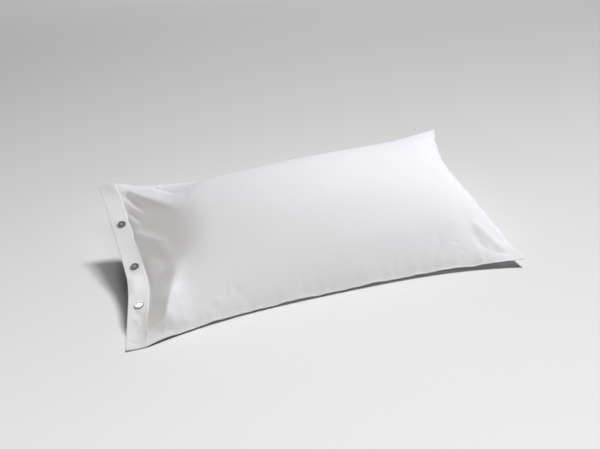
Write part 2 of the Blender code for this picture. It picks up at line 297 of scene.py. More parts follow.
# Creases: a row of places (share along, share across), the height, the reach to its left and to its right,
# how much of the run fades at its start and at its end, and how rounded its line is, from 1, a sharp fold,
# to 2, a soft one.
Crease = namedtuple("Crease", "places height left_reach right_reach start_fade end_fade roundness")
CREASES = (
    # The folds that run from the far left ear over the pillow's end.
    Crease(
        ((0.048, 0.985), (0.069, 0.959), (0.085, 0.899), (0.106, 0.824), (0.148, 0.695), (0.189, 0.545)),
        0.0072, 0.024, 0.010, 0.05, 0.5, 1.4,
    ),
    Crease(
        ((0.050, 0.946), (0.061, 0.906), (0.073, 0.839), (0.098, 0.718)),
        -0.0034, 0.006, 0.007, 0.1, 0.5, 1.5,
    ),
    Crease(
        ((0.058, 0.878), (0.070, 0.811), (0.084, 0.743), (0.095, 0.694)),
        0.0009, 0.004, 0.005, 0.2, 0.5, 1.5,
    ),
    Crease(((0.050, 0.810), (0.068, 0.731), (0.080, 0.660)), -0.0017, 0.004, 0.005, 0.1, 0.5, 1.5),
    Crease(((0.050, 0.765), (0.062, 0.714), (0.073, 0.650)), 0.0015, 0.005, 0.008, 0.1, 0.5, 1.5),
    Crease(
        ((0.049, 0.650), (0.060, 0.629), (0.075, 0.590), (0.106, 0.504), (0.125, 0.430)),
        0.0038, 0.008, 0.013, 0.1, 0.5, 1.5,
    ),
    Crease(
        ((0.074, 0.980), (0.105, 0.980), (0.128, 0.939), (0.148, 0.848), (0.166, 0.729)),
        0.0012, 0.008, 0.012, 0.3, 0.5, 1.7,
    ),
    Crease(
        ((0.125, 0.975), (0.155, 0.932), (0.175, 0.834), (0.192, 0.708)),
        -0.0034, 0.012, 0.008, 0.2, 0.5, 1.6,
    ),
    Crease(((0.085, 0.530), (0.110, 0.430), (0.128, 0.330)), 0.0010, 0.010, 0.010, 0.3, 0.4, 1.7),
    Crease(((0.075, 0.470), (0.096, 0.380), (0.106, 0.290)), -0.0010, 0.009, 0.009, 0.3, 0.4, 1.7),
    # The pocket beside the band.
    Crease(
        ((0.050, 0.500), (0.050, 0.444), (0.051, 0.372), (0.054, 0.294), (0.052, 0.200)),
        -0.0026, 0.006, 0.005, 0.2, 0.3, 1.6,
    ),
    # The lower part of the pillow's end: a hollow beside the band, and the ridge that bounds it.
    Crease(
        ((0.056, 0.330), (0.056, 0.250), (0.056, 0.180), (0.056, 0.120), (0.056, 0.080)),
        -0.0036, 0.026, 0.012, 0.4, 0.4, 1.5,
    ),
    Crease(
        (
            (0.130, 0.360), (0.122, 0.280), (0.118, 0.200), (0.112, 0.140),
            (0.106, 0.100), (0.101, 0.060), (0.097, 0.020),
        ),
        0.0090, 0.030, 0.026, 0.4, 0.05, 1.6,
    ),
    Crease(
        ((0.116, 0.180), (0.110, 0.110), (0.102, 0.065), (0.094, 0.022)),
        0.0190, 0.030, 0.020, 0.9, 0.05, 1.35,
    ),
    Crease(
        ((0.046, 0.040), (0.056, 0.032), (0.070, 0.028), (0.084, 0.012)),
        -0.0080, 0.008, 0.003, 0.1, 0.2, 1.4,
    ),
    # The puckers of the front slope.
    Crease(
        ((0.088, 0.006), (0.097, 0.031), (0.108, 0.039), (0.112, 0.010)),
        0.0025, 0.004, 0.004, 0.2, 0.2, 1.4,
    ),
    Crease(
        ((0.133, 0.085), (0.134, 0.045), (0.143, 0.016), (0.152, 0.004)),
        0.0022, 0.004, 0.006, 0.4, 0.1, 1.4,
    ),
    Crease(((0.174, 0.010), (0.188, 0.036), (0.201, 0.014)), 0.0018, 0.004, 0.004, 0.2, 0.2, 1.4),
    Crease(((0.238, 0.098), (0.241, 0.071), (0.245, 0.045)), -0.0022, 0.003, 0.004, 0.3, 0.2, 1.4),
    Crease(((0.254, 0.076), (0.268, 0.058), (0.286, 0.030)), -0.0028, 0.006, 0.004, 0.2, 0.2, 1.5),
    Crease(((0.383, 0.054), (0.401, 0.028)), -0.0014, 0.005, 0.004, 0.3, 0.3, 1.4),
    # The right end: the shoulder over the front slope, and the folds at and beside the near corner.
    Crease(
        ((0.500, 0.110), (0.563, 0.129), (0.747, 0.156), (0.864, 0.173), (0.905, 0.164)),
        0.0030, 0.040, 0.018, 0.5, 0.1, 1.6,
    ),
    Crease(
        ((0.905, 0.180), (0.928, 0.156), (0.944, 0.125), (0.956, 0.085), (0.985, 0.045)),
        0.0060, 0.022, 0.014, 0.2, 0.3, 1.5,
    ),
    Crease(((0.909, 0.150), (0.912, 0.100), (0.925, 0.055)), -0.0040, 0.010, 0.014, 0.3, 0.3, 1.6),
    Crease(((0.803, 0.140), (0.802, 0.090), (0.775, 0.045)), -0.0020, 0.008, 0.012, 0.3, 0.3, 1.6),
    Crease(((0.828, 0.090), (0.858, 0.087)), -0.0010, 0.003, 0.003, 0.3, 0.3, 1.4),
    Crease(((0.826, 0.078), (0.860, 0.074)), 0.0008, 0.003, 0.003, 0.3, 0.3, 1.4),
    Crease(((0.855, 0.072), (0.858, 0.044)), -0.0016, 0.004, 0.003, 0.3, 0.3, 1.4),
    # The lumps over the front seam.
    Crease(((0.215, 0.030), (0.222, 0.060)), 0.0025, 0.010, 0.012, 0.3, 0.3, 1.7),
    Crease(((0.330, 0.022), (0.345, 0.050)), 0.0018, 0.010, 0.008, 0.3, 0.3, 1.7),
    Crease(((0.460, 0.020), (0.470, 0.048)), -0.0018, 0.008, 0.010, 0.3, 0.3, 1.6),
    Crease(((0.590, 0.022), (0.585, 0.060)), 0.0016, 0.010, 0.008, 0.3, 0.3, 1.6),
    # The flat flange at the far right corner, and the hollow inside the closed end.
    Crease(((0.820, 0.950), (0.900, 0.960), (0.972, 0.965)), -0.0060, 0.005, 0.008, 0.4, 0.15, 1.4),
    Crease(
        ((0.974, 0.940), (0.968, 0.700), (0.968, 0.450), (0.974, 0.250)),
        -0.0028, 0.008, 0.006, 0.1, 0.2, 1.6,
    ),
    Crease(((0.925, 0.055), (0.960, 0.044), (0.990, 0.036)), -0.0036, 0.009, 0.005, 0.5, 0.1, 1.6),
)

# The small puckers that the seams draw in the cloth: how many at each edge, over which shares of the sides,
# where each lies in its own part of the edge, how long, how slanted as a share of its length, how high and
# wide, and how it fades.
PUCKER_SEED = 11
END_PUCKERS = 30
SIDE_PUCKERS = 34
PUCKERED_SHARES = (0.14, 0.98)
PUCKER_PLACE = (0.2, 0.8)
PUCKER_RUN = (0.018, 0.050)
PUCKER_SLANT = (-0.3, 0.3)
PUCKER_HEIGHT = (0.0005, 0.0016)
PUCKER_REACH = (0.0035, 0.0075)
PUCKER_START_FADE = 0.15
PUCKER_END_FADE = 0.7
PUCKER_ROUNDNESS = 1.6

# The roll that the band's upper ply makes between two of its buttons, and its small creases.
BAND_CREASES = (
    Crease(
        ((0.012, 0.410), (0.015, 0.350), (0.015, 0.300), (0.012, 0.240)),
        0.0034, 0.018, 0.012, 0.35, 0.35, 1.8,
    ),
    Crease(((0.006, 0.125), (0.022, 0.105), (0.034, 0.070)), 0.0009, 0.0025, 0.0035, 0.3, 0.3, 1.5),
    Crease(((0.014, 0.150), (0.026, 0.128), (0.040, 0.112)), -0.0009, 0.0030, 0.0030, 0.3, 0.3, 1.5),
    Crease(((0.014, 0.075), (0.024, 0.056), (0.046, 0.040)), -0.0014, 0.0070, 0.0030, 0.4, 0.05, 1.5),
    Crease(((0.002, 0.030), (0.020, 0.020), (0.040, 0.016)), -0.0009, 0.0020, 0.0020, 0.1, 0.3, 1.5),
)


def mix(a, b, share):
    return a + (b - a) * share


def arch(share, fullness, lean=0.0):
    """An arch over 0..1: 0 at both ends, and 1 at its top, which leans towards one of them."""
    place = 2 * share - 1
    place = (place - lean) / (1 - lean * place)
    return np.maximum(0.0, 1 - np.abs(place) ** fullness)


def smooth_step(share):
    share = np.clip(share, 0.0, 1.0)
    return share * share * (3 - 2 * share)


def stack(x, y, z):
    return np.stack(np.broadcast_arrays(x, y, z), axis=-1)


def edge_point(edge, first, last, share):
    """How far an edge is drawn in, and how high it is, at a share of the way between its corners."""
    drawn_in = edge.drawn_in * arch(share, edge.drawn_fullness, edge.drawn_lean)
    lift = edge.lift * arch(share, edge.lift_fullness, edge.lift_lean)
    return drawn_in, mix(first.height, last.height, share) + lift


def front_edge(along):
    """The front edge, which the band keeps straight as far as the body."""
    drawn_in, height = edge_point(FRONT, NEAR_LEFT, NEAR_RIGHT, body_share(along))
    return stack(SPAN_LENGTH * (along - 0.5), drawn_in - SPAN_WIDTH / 2, height)


def back_edge(along):
    drawn_in, height = edge_point(BACK, FAR_LEFT, FAR_RIGHT, along)
    return stack(SPAN_LENGTH * (along - 0.5), SPAN_WIDTH / 2 - drawn_in, height)


def band_end(across):
    drawn_in, height = edge_point(BAND_END, NEAR_LEFT, FAR_LEFT, across)
    return stack(drawn_in - SPAN_LENGTH / 2, SPAN_WIDTH * (across - 0.5), height)


def closed_end(across):
    drawn_in, height = edge_point(CLOSED_END, NEAR_RIGHT, FAR_RIGHT, across)
    return stack(SPAN_LENGTH / 2 - drawn_in, SPAN_WIDTH * (across - 0.5), height)


def body_share(along):
    """The share of the way from the band's inner edge to the closed end."""
    return np.maximum(0.0, (along - BAND_SHARE) / (1 - BAND_SHARE))


def bend_depth(bend, across):
    return bend.depth * arch(across, bend.fullness, bend.lean)


def seam_wave(along):
    """How a seam wavers as its puckers draw it: a few waves of uneven length, none at the corners."""
    waves = sum(height * np.sin(2 * np.pi * count * along + turn) for height, count, turn in SEAM_WAVES)
    return waves * smooth_step((along - BAND_SHARE) / WAVE_FADE) * smooth_step((1 - along) / WAVE_FADE)


def seam_sheet(along, across):
    """The sheet stretched between the four edges, halfway between the upper cloth and the lower."""
    along, across = np.broadcast_arrays(np.asarray(along, float), np.asarray(across, float))
    u, v = along[..., None], across[..., None]
    zero, one = np.zeros(1), np.ones(1)
    between_sides = mix(front_edge(along), back_edge(along), v)
    between_ends = mix(band_end(across), closed_end(across), u)
    near_corners = mix(front_edge(zero), front_edge(one), u)
    far_corners = mix(back_edge(zero), back_edge(one), u)
    sheet = between_sides + between_ends - mix(near_corners, far_corners, v)
    sheet[..., 2] -= bend_depth(BAND_DIP, across) * (1 - body_share(along)) ** DIP_FADE
    sheet[..., 2] -= bend_depth(BAND_DROOP, across) * np.maximum(0.0, 1 - along / BAND_SHARE)
    sheet[..., 2] += seam_wave(along) * np.exp(-((across * SPAN_WIDTH / WAVE_REACH) ** 2))
    end_wave = seam_wave(WAVE_MARGIN + (1 - 2 * WAVE_MARGIN) * across)
    sheet[..., 0] += end_wave * np.exp(-(((1 - along) * SPAN_LENGTH / WAVE_REACH) ** 2))
    for pull in PULLS:
        distance = np.hypot((along - pull.along) * SPAN_LENGTH, (across - pull.across) * SPAN_WIDTH)
        sheet = sheet + np.array(pull.offset) * np.exp(-((distance[..., None] / pull.reach) ** 2))
    return sheet


def seam_normal(along, across):
    """The direction square to the sheet of the seams."""
    run = seam_sheet(along + NORMAL_STEP, across) - seam_sheet(along - NORMAL_STEP, across)
    width = seam_sheet(along, across + NORMAL_STEP) - seam_sheet(along, across - NORMAL_STEP)
    normal = np.cross(run, width)
    return normal / np.linalg.norm(normal, axis=-1, keepdims=True)


def in_band(along, across, height):
    """A point on the band or a seam, at a height square to the sheet."""
    return seam_sheet(along, across) + seam_normal(along, across) * np.asarray(height, float)[..., None]


def within_seams(body, across):
    """The shares measured inside the flat margin of the seams."""
    end_margin = SEAM_MARGIN / SPAN_LENGTH
    side_margin = SEAM_MARGIN / SPAN_WIDTH
    inner_body = np.clip(body / (1 - end_margin), 0, 1)
    inner_across = np.clip((across - side_margin) / (1 - 2 * side_margin), 0, 1)
    return inner_body, inner_across


def filled(along, across):
    """How full the case is, from 0 along its seams and ears to 1 under the crown."""
    body, across = within_seams(body_share(along), across)
    lengthwise = arch(body, LENGTHWISE_FULLNESS) ** mix(BAND_END_POWER, CLOSED_END_POWER, body)
    share = lengthwise * arch(across, CROSSWISE_FULLNESS) ** CROSSWISE_POWER
    for corner in CORNERS:
        distance = np.hypot((body - corner.end) * SPAN_LENGTH, (across - corner.side) * SPAN_WIDTH)
        share = share * (1 - np.exp(-((distance / corner.ear) ** 2)))
    return share


def smooth_min(a, b, ease):
    """The lesser of two heights, with a soft turn where they cross."""
    share = np.clip(0.5 + 0.5 * (b - a) / ease, 0.0, 1.0)
    return mix(b, a, share) - ease * share * (1 - share)


def hip_ridge(across):
    """The share along the case at which its top turns down to the band."""
    steps = np.linspace(-HIP_BLUR, HIP_BLUR, HIP_STEPS)
    return np.mean([np.interp(across + step, HIP_ACROSS, HIP_ALONG) for step in steps], axis=0)


def cloth_rise(along, across):
    """How far the upper cloth stands over the seams, before its creases.

    It is the crown, cut off by the pillow's end, which slopes down evenly from its ridge to the band, and by
    the taut cloth, which slopes down to the back edge.
    """
    fill = filled(along, across)
    ridge = hip_ridge(across)
    end_face = CROWN_RISE * filled(ridge, across) * (along - BAND_SHARE) / (ridge - BAND_SHARE)
    ease = np.minimum(1.0, EASE_GROWTH * fill)
    rise = smooth_min(CROWN_RISE * fill, end_face, np.maximum(HIP_EASE * ease, LEAST_EASE))
    back_face = np.interp(along, TAUT_ALONG, TAUT_SLOPES) * (1 - across) * SPAN_WIDTH
    return smooth_min(rise, back_face, np.maximum(TAUT_EASE * ease, LEAST_EASE))


def crease_height(crease, along, across):
    """What a crease adds to the height of the cloth round it."""
    here = np.stack((along * SPAN_LENGTH, across * SPAN_WIDTH), axis=-1)
    places = np.array(crease.places) * (SPAN_LENGTH, SPAN_WIDTH)
    runs = np.linalg.norm(np.diff(places, axis=0), axis=1)
    starts = np.concatenate(((0.0,), np.cumsum(runs)))
    nearest = np.full(along.shape, np.inf)
    progress = np.zeros(along.shape)
    reach = np.ones(along.shape)
    for first, last, run, start in zip(places, places[1:], runs, starts):
        share = np.clip((here - first) @ (last - first) / run**2, 0.0, 1.0)
        off_line = here - first - share[..., None] * (last - first)
        distance = np.linalg.norm(off_line, axis=-1)
        towards_left = (last - first)[0] * off_line[..., 1] - (last - first)[1] * off_line[..., 0]
        leftness = 0.5 + 0.5 * towards_left / np.maximum(distance * run, LEAST_AREA)
        closer = distance < nearest
        nearest = np.where(closer, distance, nearest)
        progress = np.where(closer, (start + share * run) / starts[-1], progress)
        reach = np.where(closer, mix(crease.right_reach, crease.left_reach, leftness), reach)
    fading = smooth_step(progress / crease.start_fade) if crease.start_fade else 1.0
    if crease.end_fade:
        fading = fading * smooth_step((1 - progress) / crease.end_fade)
    return crease.height * fading * np.exp(-((nearest / reach) ** crease.roundness))


def all_creases(creases, along, across):
    return sum((crease_height(crease, along, across) for crease in creases), np.zeros(along.shape))


def seam_puckers():
    """Short creases square to the closed end and to both sides, at places drawn from one seed."""
    draw = np.random.default_rng(PUCKER_SEED)
    puckers = []
    for count, edge in ((END_PUCKERS, "end"), (SIDE_PUCKERS, "front"), (SIDE_PUCKERS, "back")):
        for place in (np.arange(count) + draw.uniform(*PUCKER_PLACE, count)) / count:
            run = draw.uniform(*PUCKER_RUN)
            slant = draw.uniform(*PUCKER_SLANT) * run
            height = draw.uniform(*PUCKER_HEIGHT) * draw.choice((-1, 1))
            reach = draw.uniform(*PUCKER_REACH)
            if edge == "end":
                start = (1.0, place)
                stop = (1.0 - run / SPAN_LENGTH, place + slant / SPAN_WIDTH)
            else:
                along = mix(*PUCKERED_SHARES, place)
                side = 0.0 if edge == "front" else 1.0
                start = (along, side)
                stop = (along + slant / SPAN_LENGTH, side + (1 - 2 * side) * run / SPAN_WIDTH)
            fades = (PUCKER_START_FADE, PUCKER_END_FADE)
            puckers.append(Crease((start, stop), height, reach, reach, *fades, PUCKER_ROUNDNESS))
    return tuple(puckers)


def creased(along, across):
    """What the creases add to the case, less towards its seams and ears, which stay flat."""
    folds = all_creases(CREASES + seam_puckers(), along, across)
    return folds * np.minimum(1.0, CREASE_GROWTH * filled(along, across))


def spaced(count, crowding):
    """Shares 0..1, closer together towards both ends."""
    even = np.linspace(0.0, 1.0, count + 1)
    return mix(even, 0.5 - 0.5 * np.cos(np.pi * even), crowding)


def ring_of(rows, columns):
    """The indices of the points round the edge of a grid, in order."""
    bottom = [(i, 0) for i in range(rows)]
    right = [(rows - 1, j) for j in range(1, columns)]
    top = [(i, columns - 1) for i in range(rows - 2, -1, -1)]
    left = [(0, j) for j in range(columns - 2, 0, -1)]
    return np.array(bottom + right + top + left)


def add_piece(name, mesh, material):
    """A piece in the scene for a finished mesh."""
    mesh.materials.append(material)
    piece = bpy.data.objects.new(name, mesh)
    bpy.context.scene.collection.objects.link(piece)
    return piece


def closed_sheet(name, upper, lower, places, bulge, material):
    """Two grids of points made into one closed cloth, joined by a rim that stands out a little."""
    rows, columns = upper.shape[:2]
    ring = ring_of(rows, columns)
    middle = (upper + lower) / 2
    inner = np.clip(ring, 1, (rows - 2, columns - 2))
    outward = middle[ring[:, 0], ring[:, 1]] - middle[inner[:, 0], inner[:, 1]]
    outward /= np.linalg.norm(outward, axis=1, keepdims=True)
    rim = middle[ring[:, 0], ring[:, 1]] + outward * bulge
    size = rows * columns
    points = np.concatenate((upper.reshape(-1, 3), lower.reshape(-1, 3), rim))
    index = np.arange(size).reshape(rows, columns)
    quads = np.stack((index[:-1, :-1], index[1:, :-1], index[1:, 1:], index[:-1, 1:]), axis=-1).reshape(-1, 4)
    edge = ring[:, 0] * columns + ring[:, 1]
    next_edge = np.roll(edge, -1)
    out = 2 * size + np.arange(len(edge))
    next_out = np.roll(out, -1)
    upper_rim = np.stack((edge, out, next_out, next_edge), axis=-1)
    lower_rim = np.stack((out, edge + size, next_edge + size, next_out), axis=-1)
    faces = np.concatenate((quads, quads[:, ::-1] + size, upper_rim, lower_rim))
    mesh = bpy.data.meshes.new(name)
    mesh.vertices.add(len(points))
    mesh.vertices.foreach_set("co", points.astype(np.float32).ravel())
    mesh.loops.add(faces.size)
    mesh.loops.foreach_set("vertex_index", faces.astype(np.int32).ravel())
    mesh.polygons.add(len(faces))
    mesh.polygons.foreach_set("loop_start", np.arange(0, faces.size, 4, dtype=np.int32))
    mesh.update(calc_edges=True)
    flat = np.concatenate((places.reshape(-1, 2), places.reshape(-1, 2), places[ring[:, 0], ring[:, 1]]))
    layer = mesh.uv_layers.new(name="cloth")
    layer.data.foreach_set("uv", flat[faces.ravel()].astype(np.float32).ravel())
    mesh.validate()
    mesh.shade_smooth()
    return add_piece(name, mesh, material)


def grid(start, end, cells, crowding=(0.0, 0.0)):
    """The shares along and across of a grid of points, between two shares along."""
    along = mix(start, end, spaced(cells[0], crowding[0]))
    across = spaced(cells[1], crowding[1])
    return np.meshgrid(along, across, indexing="ij")


def make_case(material):
    """The filled case, from the band's inner edge to the closed end, with its creases and its belly."""
    along, across = grid(BAND_SHARE, 1.0, CASE_CELLS, CASE_CROWDING)
    upper = in_band(along, across, np.full(along.shape, CASE_HALF))
    upper[..., 2] += cloth_rise(along, across) + creased(along, across)
    lower = in_band(along, across, np.full(along.shape, -CASE_HALF))
    hang = BELLY_DROP * filled(along, across)
    lower[..., 2] = np.maximum(CAD_BOX[0].z, lower[..., 2] - hang)
    upper[..., 2] = np.maximum(upper[..., 2], lower[..., 2] + 2 * CASE_HALF)
    places = np.stack((along * SPAN_LENGTH, across * SPAN_WIDTH), axis=-1)
    case = closed_sheet("case_cloth", upper, lower, places, SEAM_BULGE, material)
    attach(case, "root")
    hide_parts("case")


def gape(along, across):
    """How far the plies part: not at the buttons and the ends, and most at the free edge between them."""
    share = arch(across, GAPE_FULLNESS)
    for button in BUTTONS.values():
        share = share * (1 - np.exp(-(((across - button) * SPAN_WIDTH / GAPE_REACH) ** 2)))
    return share * np.clip(1 - along / BAND_SHARE, 0.0, 1.0) ** GAPE_POWER


def upper_ply_height(along, across):
    """The middle of the band's upper ply over the sheet of the seams. Its inner edge laps over the case."""
    lap = smooth_step((along / BAND_SHARE - LAP_START) / LAP_RUN)
    return BAND_PARTING + BAND_PLY / 2 + LAP_RISE * lap + all_creases(BAND_CREASES, along, across)


def lower_ply_height(along, across):
    """The middle of the band's lower ply over the sheet of the seams."""
    return -BAND_PARTING - BAND_PLY / 2 - GAPE * gape(along, across)


def make_band_ply(name, node, end, height, material):
    """One ply of the band, from its free edge to a share along the case."""
    along, across = grid(0.0, end, BAND_CELLS)
    middle = height(along, across)
    high = in_band(along, across, middle + BAND_PLY / 2)
    low = in_band(along, across, middle - BAND_PLY / 2)
    low[..., 2] = np.maximum(low[..., 2], CAD_BOX[0].z)
    high[..., 2] = np.maximum(high[..., 2], low[..., 2] + BAND_PLY / 2)
    places = np.stack((along * SPAN_LENGTH, across * SPAN_WIDTH), axis=-1)
    ply = closed_sheet(name, high, low, places, BAND_BULGE, material)
    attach(ply, "root")
    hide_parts(node)


def quads_between(index):
    """The faces between each closed ring of points and the next. The rings run along the last axis."""
    after = np.roll(index, -1, axis=-1)
    corners = (index[..., :-1, :], after[..., :-1, :], after[..., 1:, :], index[..., 1:, :])
    return np.stack(corners, axis=-1).reshape(-1, 4)


def tubes(name, paths, radius, material):
    """Round threads, one along each path, in one mesh. Paths is an array of paths, places, and x, y and z."""
    paths = np.asarray(paths, float)
    count, length = paths.shape[:2]
    run = np.gradient(paths, axis=1)
    run /= np.linalg.norm(run, axis=-1, keepdims=True)
    side = np.cross(run, (0.0, 0.0, 1.0))
    side /= np.linalg.norm(side, axis=-1, keepdims=True)
    over = np.cross(side, run)
    turns = np.linspace(0, 2 * np.pi, THREAD_SIDES, endpoint=False)[:, None]
    ends = np.sqrt(arch(np.linspace(*THREAD_ENDS, length), THREAD_FULLNESS))[:, None, None]
    ring = side[:, :, None] * np.cos(turns) + over[:, :, None] * np.sin(turns)
    points = paths[:, :, None] + ring * radius * ends
    index = np.arange(count * length * THREAD_SIDES).reshape(count, length, THREAD_SIDES)
    starts = index[:, 0, ::-1].reshape(-1, THREAD_SIDES)
    stops = index[:, -1].reshape(-1, THREAD_SIDES)
    faces = quads_between(index).tolist() + starts.tolist() + stops.tolist()
    mesh = bpy.data.meshes.new(name)
    mesh.from_pydata(points.reshape(-1, 3).tolist(), [], faces)
    mesh.shade_smooth()
    piece = add_piece(name, mesh, material)
    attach(piece, "root")


def make_band_stitching(material):
    """The row of stitches that holds the band's upper ply to the case."""
    width = SPAN_WIDTH - 2 * STITCH_INSET
    count = int(width / STITCH_PITCH)
    starts = (np.arange(count) + 0.5) * width / count + STITCH_INSET
    steps = np.linspace(-0.5, 0.5, STITCH_STEPS)
    across = (starts[:, None] + steps * STITCH_PITCH * STITCH_SHARE) / SPAN_WIDTH
    along = np.full(across.shape, BAND_SHARE - STITCH_INSET / SPAN_LENGTH)
    rise = THREAD_RADIUS * (STITCH_RISE - STITCH_DIP * (2 * np.abs(steps)) ** 4)
    height = upper_ply_height(along, across) + BAND_PLY / 2 + rise
    tubes("band_stitching", in_band(along, across, height), THREAD_RADIUS, material)


def sew_buttons(material):
    """Two pairs of strands over the middle of each button, down into its holes."""
    share = np.linspace(-1.0, 1.0, STRAND_STEPS)
    spot = THREAD_HOLE_OFFSET / math.sqrt(2)
    rise = BUTTON_MIDDLE + STRAND_RISE - STRAND_DIP * share**STRAND_BEND
    paths = []
    for name in BUTTONS:
        base, turn = button_pose(name)
        for side in (-STRAND_RADIUS, STRAND_RADIUS):
            for row in (-spot, spot):
                local = stack(spot * share, row + side, rise)
                paths.append([base + turn @ Vector(place) for place in local])
    tubes("button_threads", paths, STRAND_RADIUS, material)


def button_pose(name):
    """Where a button lies, and how it is turned."""
    along, across = BAND_SHARE * BUTTON_LINE, BUTTONS[name]
    base = Vector(in_band(along, across, PLY + GAP / 2 + BUTTON_LIFT).ravel())
    return base, Vector(seam_normal(along, across).ravel()).to_track_quat("Z", "Y")


def new_material(name):
    """A material, its node tree and its surface."""
    material = bpy.data.materials.new(name)
    material.use_nodes = True
    tree = material.node_tree
    return material, tree, tree.nodes["Principled BSDF"]


def add_node(tree, kind, values=None, links=None, **settings):
    """A node with its settings, its sockets' values, and the outputs that feed its sockets."""
    node = tree.nodes.new(kind)
    for key, value in settings.items():
        setattr(node, key, value)
    for key, value in (values or {}).items():
        node.inputs[key].default_value = value
    for key, source in (links or {}).items():
        tree.links.new(source, node.inputs[key])
    return node


def sum_up(tree, operation, *parts):
    """The output of one math node. Each part is a number, or the output of another node."""
    node = tree.nodes.new("ShaderNodeMath")
    node.operation = operation
    for socket, part in zip(node.inputs, parts):
        if isinstance(part, float):
            socket.default_value = part
        else:
            tree.links.new(part, socket)
    return node.outputs[0]


def within(tree, value, least, most):
    """A value that is kept between two numbers."""
    return sum_up(tree, "MINIMUM", sum_up(tree, "MAXIMUM", value, least), most)


def noise(tree, place, scale, detail=2.0):
    """Soft noise, 0..1, over a place."""
    values = {"Scale": scale, "Detail": detail}
    return add_node(tree, "ShaderNodeTexNoise", values, {"Vector": place}).outputs[0]


def threads(tree, place, direction, pitch):
    """The ripple of one set of a weave's threads, 0..1."""
    values = {"Scale": WAVE_LENGTH / pitch, "Distortion": WEAVE_WOBBLE, "Detail": 1.0}
    wave = add_node(tree, "ShaderNodeTexWave", values, {"Vector": place}, bands_direction=direction)
    return wave.outputs[1]


def sewn_line(tree, place):
    """1 along the line at which the cloth is sewn inside its sides and its closed end, and 0 away from it."""
    parts = add_node(tree, "ShaderNodeSeparateXYZ", links={0: place})
    x, y = parts.outputs["X"], parts.outputs["Y"]
    sides = sum_up(tree, "MINIMUM", y, sum_up(tree, "SUBTRACT", SPAN_WIDTH, y))
    nearest = sum_up(tree, "MINIMUM", sides, sum_up(tree, "SUBTRACT", SPAN_LENGTH, x))
    away = sum_up(tree, "ABSOLUTE", sum_up(tree, "SUBTRACT", nearest, SEWN_INSET))
    return sum_up(tree, "MAXIMUM", sum_up(tree, "MULTIPLY_ADD", away, -1.0 / SEWN_REACH, 1.0), 0.0)


def make_cotton(name, colour, pitch, undulation, sewn):
    """Woven cotton. Its threads, slubs, soft waves and sewn line follow the flat cloth, in metres. The sewn
    line's groove is also painted darker, as its shade.
    """
    material, tree, surface = new_material(name)
    surface.inputs["Roughness"].default_value = 0.85
    surface.inputs["Specular IOR Level"].default_value = 0.3
    surface.inputs["Sheen Weight"].default_value = 0.06
    surface.inputs["Sheen Roughness"].default_value = 0.5
    flat = add_node(tree, "ShaderNodeUVMap", uv_map="cloth").outputs["UV"]
    weave = sum_up(tree, "ADD", threads(tree, flat, "X", pitch), threads(tree, flat, "Y", pitch))
    stretched = add_node(tree, "ShaderNodeVectorMath", {1: SLUB_STRETCH}, {0: flat}, operation="MULTIPLY")
    slubs = noise(tree, stretched.outputs[0], SLUB_SCALE)
    soft_waves = noise(tree, flat, SOFT_WAVE_SCALE, 1.0)
    height = sum_up(tree, "MULTIPLY", weave, WEAVE_DEPTH)
    height = sum_up(tree, "MULTIPLY_ADD", slubs, SLUB_DEPTH, height)
    height = sum_up(tree, "MULTIPLY_ADD", soft_waves, undulation, height)
    paleness = sum_up(tree, "MULTIPLY_ADD", noise(tree, flat, TINT_SCALE), TINT_RANGE, TINT_LEAST)
    if sewn:
        line = sewn_line(tree, flat)
        height = sum_up(tree, "MULTIPLY_ADD", line, -SEWN_DEPTH, height)
        # Painted shade: the sewn line's groove is painted darker.
        paleness = sum_up(tree, "MULTIPLY_ADD", line, -SEWN_PAINTED_SHADE, paleness)
    shade = add_node(tree, "ShaderNodeVectorMath", {0: colour}, {"Scale": paleness}, operation="SCALE")
    tree.links.new(shade.outputs[0], surface.inputs["Base Color"])
    bump = add_node(tree, "ShaderNodeBump", {"Strength": 1.0, "Distance": 1.0}, {"Height": height})
    tree.links.new(bump.outputs["Normal"], surface.inputs["Normal"])
    return material


def make_shell(name):
    """Shell with painted reflection: dark, and paler in the middle and in a ring inside the rim, over its
    turned rings, with a pearly cloud and a thin coat.
    """
    material, tree, surface = new_material(name + "_shell")
    surface.inputs["Roughness"].default_value = 0.22
    surface.inputs["IOR"].default_value = 1.55
    surface.inputs["Coat Weight"].default_value = 0.4
    surface.inputs["Coat Roughness"].default_value = 0.12
    base, turn = button_pose(name)
    place = add_node(tree, "ShaderNodeNewGeometry").outputs["Position"]
    from_base = add_node(tree, "ShaderNodeVectorMath", {1: base}, {0: place}, operation="SUBTRACT").outputs[0]
    axis = turn @ Vector((0.0, 0.0, 1.0))
    across_axis = add_node(tree, "ShaderNodeVectorMath", {1: axis}, {0: from_base}, operation="CROSS_PRODUCT")
    radius = add_node(tree, "ShaderNodeVectorMath", links={0: across_axis.outputs[0]}, operation="LENGTH")
    share = sum_up(tree, "DIVIDE", radius.outputs["Value"], BUTTON_RADIUS)
    # Painted reflection: the greys of the rings stand in for the dark surroundings that the shell mirrors.
    rings_and_reflection = add_node(tree, "ShaderNodeValToRGB", links={0: share})
    elements = rings_and_reflection.color_ramp.elements
    while len(elements) < len(SHELL_RINGS_AND_REFLECTION):
        elements.new(0.5)
    for element, (position, grey) in zip(elements, SHELL_RINGS_AND_REFLECTION):
        element.position = position
        element.color = (*(grey * part for part in SHELL_TINT), 1.0)
    cloud = sum_up(tree, "MULTIPLY_ADD", noise(tree, from_base, CLOUD_SCALE, 3.0), CLOUD_RANGE, CLOUD_LEAST)
    sources = {0: rings_and_reflection.outputs[0], "Scale": cloud}
    pearl_and_reflection = add_node(tree, "ShaderNodeVectorMath", links=sources, operation="SCALE")
    tree.links.new(pearl_and_reflection.outputs[0], surface.inputs["Base Color"])
    return material


